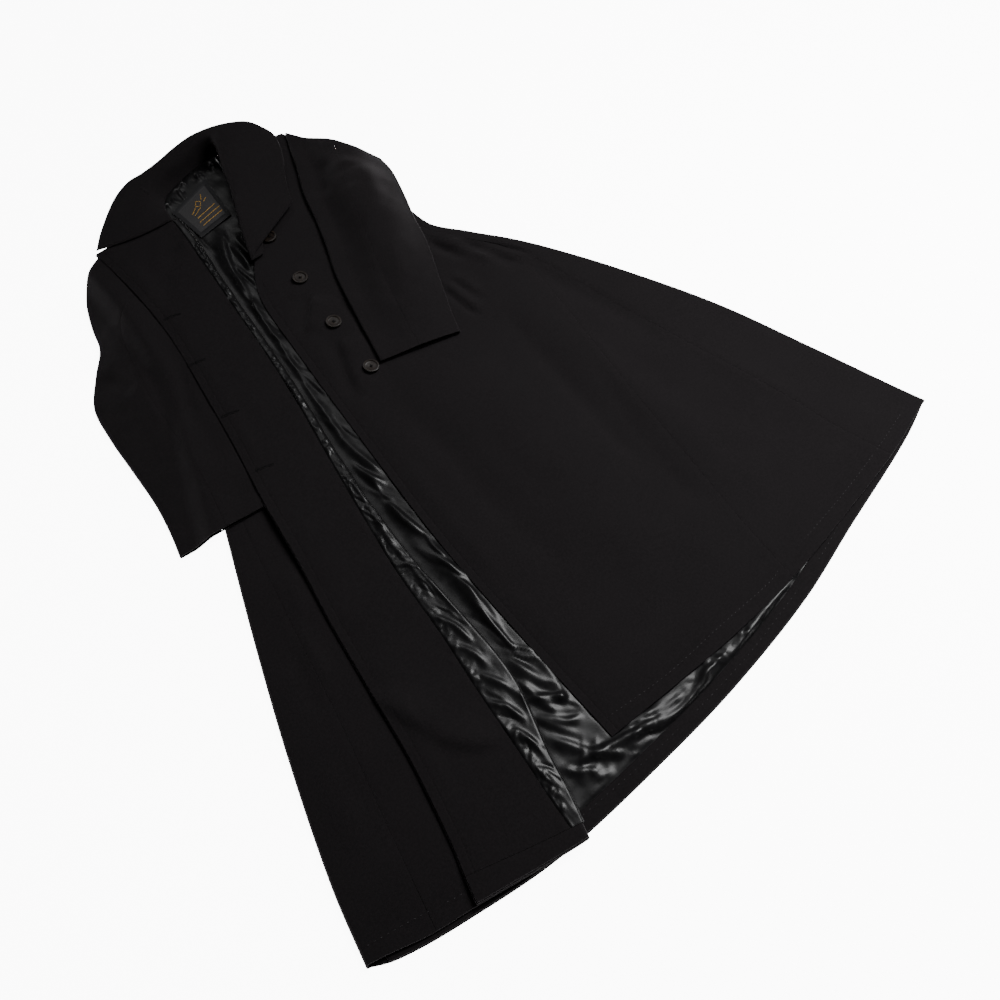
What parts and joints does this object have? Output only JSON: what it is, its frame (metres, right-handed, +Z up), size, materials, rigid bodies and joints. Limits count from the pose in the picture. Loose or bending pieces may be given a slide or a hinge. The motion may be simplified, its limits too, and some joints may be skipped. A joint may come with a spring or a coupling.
{
  "type": "flared wool overcoat, laid flat",
  "caption": "Long flared single-breasted dark wool coat with a wide pointed collar, lying open on its back with one front turned back to show its lining and one sleeve folded across.",
  "frame": {"origin": "middle of the coat's footprint, at the height of the surface it lies on", "axes": "+Y from the hem towards the collar, +X towards the wearer's left side, +Z up from the surface it lies on"},
  "size_m": [1.047, 1.2234, 0.0525],
  "materials": {
    "wool": "matte woollen coating cloth, near black",
    "satin_lining": "glossy black satin",
    "woven_label": "satin weave, bare",
    "button": "polished, dark horn"
  },
  "bodies": {
    "root": {"back_right": "wool", "back_left": "wool", "side_right": "wool", "side_left": "wool", "front_right": "wool", "front_left": "wool", "hem_back": "wool", "hem_right": "wool", "facing_right": "wool", "lining_back": "satin_lining", "lining_right": "satin_lining", "sleeve_right_under": "wool", "sleeve_right_top": "wool", "sleeve_left_under": "wool", "sleeve_left_top": "wool", "collar": "wool", "label": "woven_label", "button_1": "button", "button_2": "button", "button_3": "button", "button_4": "button"}
  },
  "joints": []
}
